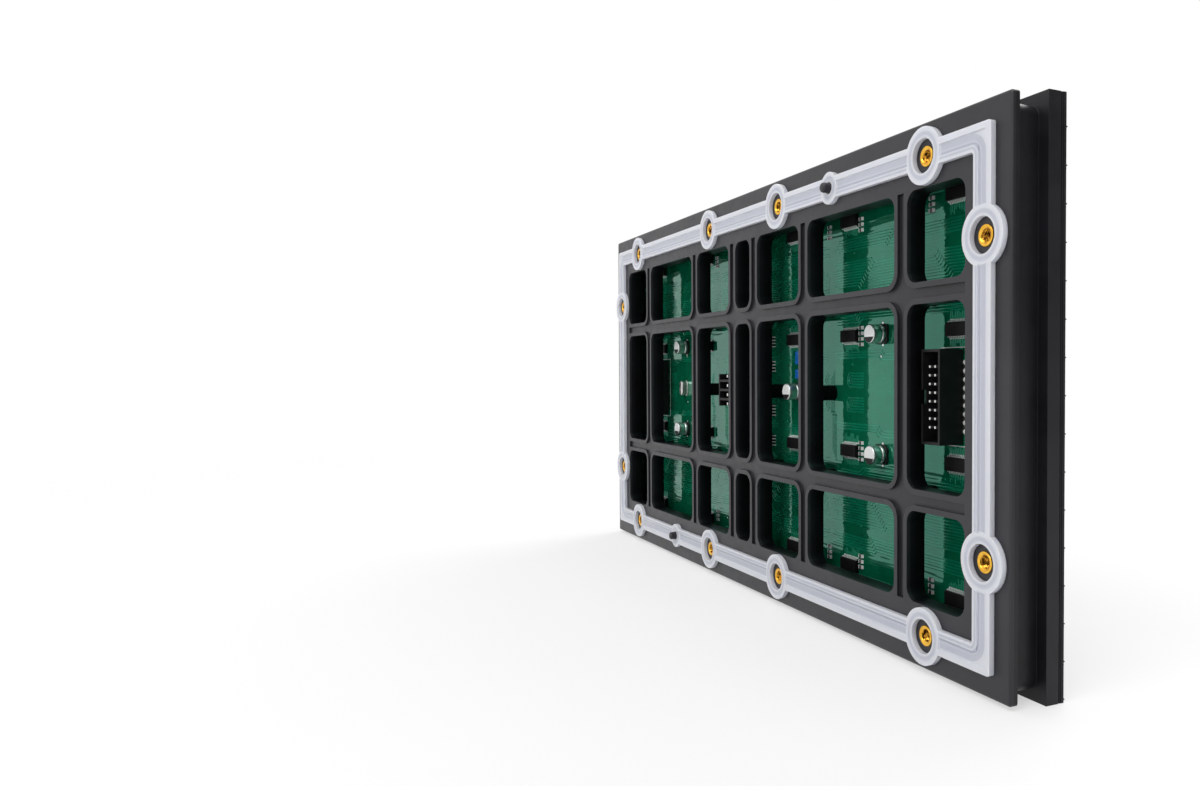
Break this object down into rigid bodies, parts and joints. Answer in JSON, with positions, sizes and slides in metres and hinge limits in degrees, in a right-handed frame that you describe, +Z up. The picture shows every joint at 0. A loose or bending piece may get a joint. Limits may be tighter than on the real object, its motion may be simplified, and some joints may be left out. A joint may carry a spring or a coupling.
{
  "type": "led display module",
  "caption": "Rectangular outdoor LED display module: lamps and visors on the front, ribbed housing with gasket, inserts, board and connectors on the rear.",
  "frame": {"origin": "centre of the housing's rear sealing face, at the centre of the pattern of threaded inserts", "axes": "+Y out of the rear side towards the cabinet, -Y towards the viewer of the lamps, +Z up, X along the long side"},
  "size_m": [0.3194, 0.0225, 0.1596],
  "materials": {
    "moulded_black": "fine moulded texture, charcoal black",
    "silicone": "translucent pale silicone",
    "brass": "turned",
    "solder_mask": "glossy green solder mask",
    "mask_black": "matte black",
    "lamp_cream": "clear resin over a pale phosphor",
    "connector_black": "moulded black",
    "tinned_metal": "tinned",
    "chip_black": "moulded epoxy",
    "can_aluminium": "drawn can",
    "capacitor_blue": "blue epoxy",
    "chip_ceramic": "ceramic chips"
  },
  "bodies": {
    "root": {"housing": "moulded_black", "sealing_gasket": "silicone", "threaded_inserts": "brass", "circuit_board": "solder_mask", "mask_left": "mask_black", "mask_right": "mask_black", "led_lamps": "lamp_cream", "input_header": "connector_black", "output_header": "connector_black", "input_header_pins": "tinned_metal", "output_header_pins": "tinned_metal", "power_connector": "connector_black", "power_connector_pins": "tinned_metal", "driver_chips": "chip_black", "driver_chip_leads": "tinned_metal", "buffer_chips": "chip_black", "buffer_chip_leads": "tinned_metal", "capacitor_cans": "can_aluminium", "capacitor_bases": "connector_black", "film_capacitors": "capacitor_blue", "crystal": "tinned_metal", "chip_resistors": "chip_ceramic"}
  },
  "joints": []
}
